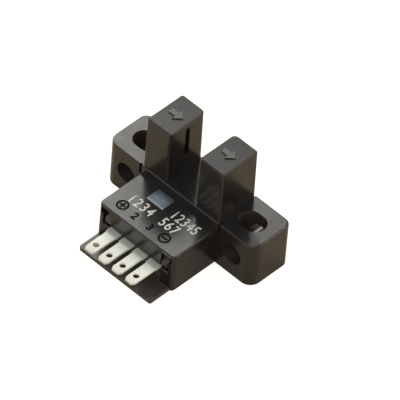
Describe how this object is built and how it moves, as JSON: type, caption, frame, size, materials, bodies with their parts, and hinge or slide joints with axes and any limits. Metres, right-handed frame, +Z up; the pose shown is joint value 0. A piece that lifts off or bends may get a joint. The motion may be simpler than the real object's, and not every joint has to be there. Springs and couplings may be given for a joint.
{
  "type": "slotted optical switch",
  "caption": "Slotted optical switch: facing posts with light slits on a winged bar with mounting slots, an indicator window and a row of flat terminals over an apron.",
  "frame": {"origin": "on the bottom face, midway between the middles of the mounting slots", "axes": "+X along the bar, in the way the arrows on the posts point; +Y to the back, away from the terminals; +Z up along the posts"},
  "size_m": [0.0262, 0.0197, 0.0159],
  "materials": {
    "housing": "black moulded polybutylene terephthalate with glass fibre, soft gloss",
    "base": "black moulded polybutylene terephthalate",
    "window": "smoky blue translucent polycarbonate",
    "filter": "deep red infrared-pass polycarbonate",
    "terminals": "tin-plated brass",
    "board": "green solder mask over glass epoxy",
    "clear_epoxy": "bluish clear epoxy",
    "dark_epoxy": "visible-light-blocking epoxy",
    "leads": "tin-plated copper alloy",
    "resistor_ceramic": "glazed film on alumina",
    "capacitor_ceramic": "fired ceramic",
    "lamp": "clear epoxy on a pale base",
    "diode_glass": "red-brown glass barrel with metal caps",
    "block_epoxy": "black transfer-moulded epoxy"
  },
  "bodies": {
    "root": {"case": "housing", "terminal_base": "base", "indicator_window": "window", "source_filter": "filter", "receiver_filter": "filter", "terminal_1": "terminals", "terminal_2": "terminals", "terminal_3": "terminals", "terminal_4": "terminals", "circuit_board": "board", "light_source": "clear_epoxy", "receiver": "dark_epoxy", "source_lead_1": "leads", "source_lead_2": "leads", "receiver_lead_1": "leads", "receiver_lead_2": "leads", "receiver_lead_3": "leads", "source_resistor": "resistor_ceramic", "lamp_resistor": "resistor_ceramic", "pull_up_resistor": "resistor_ceramic", "smoothing_capacitor": "capacitor_ceramic", "indicator_lamp": "lamp", "protection_diode": "diode_glass", "output_transistor": "block_epoxy", "transistor_lead_1": "leads", "transistor_lead_2": "leads", "transistor_lead_3": "leads"}
  },
  "joints": []
}
